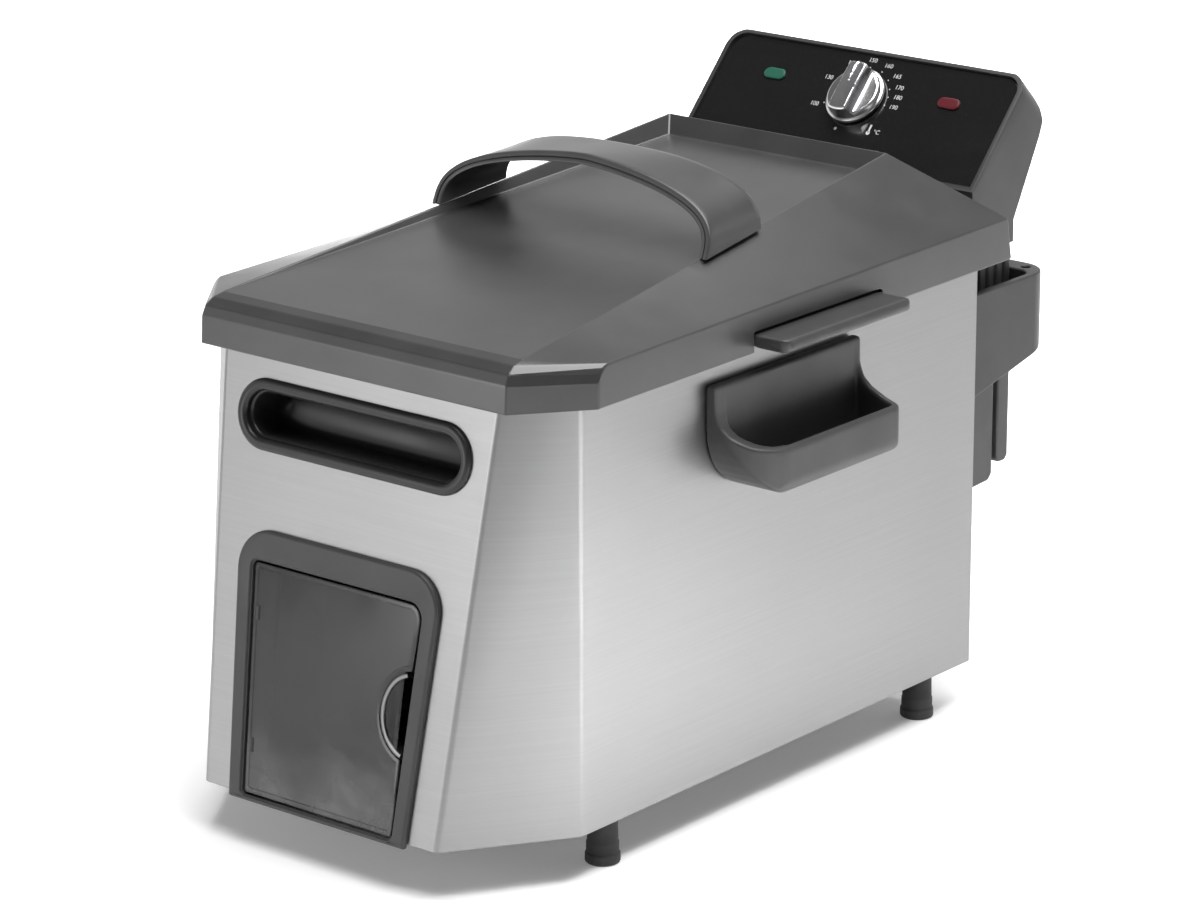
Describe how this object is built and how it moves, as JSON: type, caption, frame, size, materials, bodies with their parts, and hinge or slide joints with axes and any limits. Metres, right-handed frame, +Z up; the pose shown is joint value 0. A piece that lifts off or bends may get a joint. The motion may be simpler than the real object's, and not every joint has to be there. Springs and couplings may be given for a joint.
{
  "type": "deep fryer",
  "caption": "Countertop deep fryer: steel casing on feet, lift-off lid with arch handle, lift-out basket, heater head and bowl, dial, and a hinged drain door.",
  "frame": {"origin": "centre of the whole object's plan box, on the surface the feet stand on", "axes": "+X to the right seen from the front, +Y from the drain door at the front to the control head at the rear, +Z up"},
  "size_m": [0.313, 0.4945, 0.3434],
  "materials": {
    "brushed_steel": "fine brushing, satin",
    "polished_steel": "smooth, softly polished",
    "chrome": "mirror bright",
    "dark_grey_plastic": "fine grain, satin",
    "lid_plastic": "fine grain, satin",
    "black_plastic": "matt",
    "gloss_black": "high gloss, printed dial marks",
    "smoked_plastic": "smoked, see-through",
    "rubber": "matt",
    "element_tube": "heat-darkened",
    "green_lens": "tinted lens, unlit",
    "red_lens": "tinted lens, unlit"
  },
  "bodies": {
    "casing": {"outer_casing": "brushed_steel", "base_plate": "black_plastic", "rear_panel": "dark_grey_plastic", "foot_front_right": "rubber", "foot_front_left": "rubber", "foot_rear_right": "rubber", "foot_rear_left": "rubber", "base_screw_front_right": "polished_steel", "base_screw_front_left": "polished_steel", "base_screw_rear_right": "polished_steel", "base_screw_rear_left": "polished_steel", "front_handle_cup": "dark_grey_plastic", "drain_bezel": "dark_grey_plastic", "drain_bay_liner": "black_plastic", "drain_hose": "rubber", "hose_clip": "black_plastic", "drain_pipe": "polished_steel", "side_handle_right": "dark_grey_plastic", "side_handle_left": "dark_grey_plastic", "rear_guide": "dark_grey_plastic", "cord_wrap_core": "dark_grey_plastic", "cord_wrap_post": "dark_grey_plastic", "cord_wrap_plate": "dark_grey_plastic"},
    "oil_bowl": {"bowl": "polished_steel", "bowl_grip_right": "dark_grey_plastic", "bowl_grip_left": "dark_grey_plastic"},
    "control_unit": {"control_base": "dark_grey_plastic", "control_housing": "dark_grey_plastic", "control_neck": "dark_grey_plastic", "element_bracket": "polished_steel", "heating_element": "element_tube", "sensor_bulb": "polished_steel", "fascia": "gloss_black", "green_lamp_lens": "green_lens", "red_lamp_lens": "red_lens", "green_lamp_holder": "black_plastic", "red_lamp_holder": "black_plastic", "thermostat_body": "black_plastic", "thermal_cutout": "black_plastic", "terminal_block": "black_plastic", "cord_gland": "rubber"},
    "fry_basket": {"basket": "polished_steel", "basket_handle": "chrome", "basket_handle_pad": "black_plastic"},
    "cover": {"lid": "lid_plastic", "lid_handle": "lid_plastic", "handle_screw_right": "polished_steel", "handle_screw_left": "polished_steel"},
    "compartment_door": {"drain_door": "smoked_plastic", "door_pull": "chrome"},
    "drain_cap": {"hose_cap": "black_plastic"},
    "dial": {"thermostat_knob": "chrome", "thermostat_spindle": "polished_steel"}
  },
  "joints": [
    {"name": "bowl_lift", "type": "slide", "parent": "casing", "child": "oil_bowl", "axis": [0, 0, 1], "range_m": [0, 0.2]},
    {"name": "control_unit_lift", "type": "slide", "parent": "oil_bowl", "child": "control_unit", "axis": [0, 0, 1], "range_m": [0, 0.18]},
    {"name": "basket_lift", "type": "slide", "parent": "control_unit", "child": "fry_basket", "axis": [0, 0, 1], "range_m": [0, 0.16]},
    {"name": "lid_lift", "type": "slide", "parent": "fry_basket", "child": "cover", "axis": [0, 0, 1], "range_m": [0, 0.1]},
    {"name": "door_hinge", "type": "hinge", "parent": "casing", "child": "compartment_door", "pos_m": [-0.0488, -0.244, 0.02726], "axis": [0.0542, -0.1607, -0.9855], "range_deg": [0, 110]},
    {"name": "cap_pull", "type": "slide", "parent": "casing", "child": "drain_cap", "axis": [0, 0, 1], "range_m": [0, 0.014]},
    {"name": "knob_turn", "type": "hinge", "parent": "control_unit", "child": "dial", "pos_m": [0, 0.2121, 0.3205], "axis": [0, 0.7193, -0.6947], "range_deg": [0, 270]}
  ]
}
